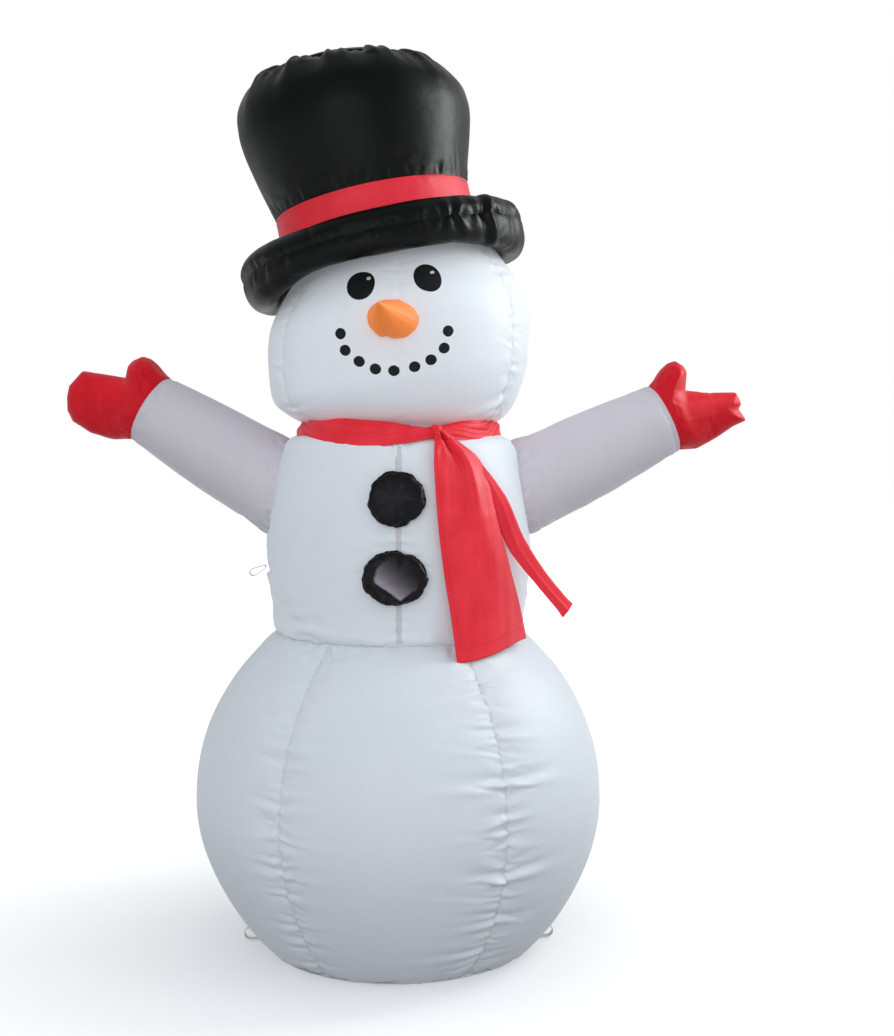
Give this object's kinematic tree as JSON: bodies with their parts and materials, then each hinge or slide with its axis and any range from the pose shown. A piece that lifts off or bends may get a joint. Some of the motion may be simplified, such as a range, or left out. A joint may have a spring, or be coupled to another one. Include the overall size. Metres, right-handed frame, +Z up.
{
  "type": "inflatable yard snowman",
  "caption": "Free-standing inflatable snowman with top hat, scarf, outstretched mittened arms and a fan blower that keeps its sewn nylon envelope filled.",
  "frame": {"origin": "centre of the floor panel's underside, where the snowman stands on the ground", "axes": "+Z up through the neck, the face looks along -Y, +X is to the right as the face is seen"},
  "size_m": [1.368, 0.8053, 1.795],
  "materials": {
    "white_nylon": "satin",
    "sleeve_nylon": "satin",
    "black_nylon": "satin",
    "red_nylon": "satin",
    "red_satin": "satin",
    "orange_nylon": "satin",
    "white_webbing": "matte",
    "zip_tape": "matte",
    "zip_metal": "satin",
    "blower_plastic": "matte",
    "fan_plastic": "gloss",
    "steel": "satin",
    "lamp_plastic": "gloss",
    "wire_plastic": "matte"
  },
  "bodies": {
    "envelope": {"base_front_panel": "white_nylon", "base_right_front_panel": "white_nylon", "base_right_back_panel": "white_nylon", "base_left_back_panel": "white_nylon", "base_left_front_panel": "white_nylon", "base_floor_panel": "white_nylon", "chest_left_front_panel": "white_nylon", "chest_right_front_panel": "white_nylon", "chest_right_back_panel": "white_nylon", "chest_left_back_panel": "white_nylon", "scarf_wrap": "red_satin", "scarf_knot": "red_satin", "upper_button": "black_nylon", "lower_button": "black_nylon", "left_stake_loop": "white_webbing", "right_stake_loop": "white_webbing", "back_stake_loop": "white_webbing", "left_tether_loop": "white_webbing", "back_tether_loop": "white_webbing", "zip_tape_left": "zip_tape", "zip_tape_right": "zip_tape", "zip_top_stop": "zip_metal", "zip_bottom_stop": "zip_metal", "blower_housing": "blower_plastic", "blower_clamp_ring": "blower_plastic", "blower_guard": "blower_plastic", "blower_motor": "steel", "blower_motor_bracket": "blower_plastic", "power_inlet": "blower_plastic", "lamp_wire": "wire_plastic", "lower_lamp": "lamp_plastic", "upper_lamp": "lamp_plastic"},
    "head": {"head_left_front_panel": "white_nylon", "head_right_front_panel": "white_nylon", "head_right_side_panel": "white_nylon", "head_right_back_panel": "white_nylon", "head_left_back_panel": "white_nylon", "head_left_side_panel": "white_nylon", "left_eye": "black_nylon", "right_eye": "black_nylon", "nose_cone": "orange_nylon", "hat_brim_upper": "black_nylon", "hat_brim_lower": "black_nylon", "hat_crown_side": "black_nylon", "hat_crown_top": "black_nylon", "hat_band": "red_satin"},
    "left_arm": {"left_arm_sleeve": "sleeve_nylon", "left_mitten": "red_nylon"},
    "right_arm": {"right_arm_sleeve": "sleeve_nylon", "right_mitten": "red_nylon"},
    "wide_tail": {"scarf_wide_tail": "red_satin"},
    "narrow_tail": {"scarf_narrow_tail": "red_satin"},
    "fan": {"blower_impeller": "fan_plastic", "blower_shaft": "steel"},
    "zip_slider": {"zip_slider": "zip_metal"},
    "zip_pull": {"zip_pull": "zip_metal"}
  },
  "joints": [
    {"name": "neck_sway", "type": "hinge", "parent": "envelope", "child": "head", "pos_m": [0, 0, 1.027], "axis": [0, 1, 0], "range_deg": [-4, 4], "stiffness_Nm_per_rad": 60},
    {"name": "left_arm_sway", "type": "hinge", "parent": "envelope", "child": "left_arm", "pos_m": [-0.24, 0, 0.919], "axis": [0, 1, 0], "range_deg": [-6, 6], "stiffness_Nm_per_rad": 15, "springref_deg": 0.74},
    {"name": "right_arm_sway", "type": "hinge", "parent": "envelope", "child": "right_arm", "pos_m": [0.245, 0, 0.914], "axis": [0, -1, 0], "range_deg": [-6, 6], "stiffness_Nm_per_rad": 15, "springref_deg": 0.74},
    {"name": "wide_tail_swing", "type": "hinge", "parent": "envelope", "child": "wide_tail", "pos_m": [0.08759, -0.22237, 1.0165], "axis": [-0.9304, -0.3665, 0], "range_deg": [0, 60]},
    {"name": "narrow_tail_swing", "type": "hinge", "parent": "envelope", "child": "narrow_tail", "pos_m": [0.08672, -0.21464, 1.012], "axis": [0.3308, -0.8187, 0.4695], "range_deg": [0, 20]},
    {"name": "fan_spin", "type": "hinge", "parent": "envelope", "child": "fan", "pos_m": [0.22621, 0.30019, 0.16619], "axis": [0.5655, 0.7505, -0.342], "continuous": true},
    {"name": "zip_travel", "type": "hinge", "parent": "envelope", "child": "zip_slider", "pos_m": [0, 0, 0.303], "axis": [1, 0, 0], "range_deg": [-40, 0]},
    {"name": "zip_pull_swing", "type": "hinge", "parent": "zip_slider", "child": "zip_pull", "pos_m": [0, 0.40141, 0.36389], "axis": [1, 0, 0], "range_deg": [0, 90]}
  ]
}
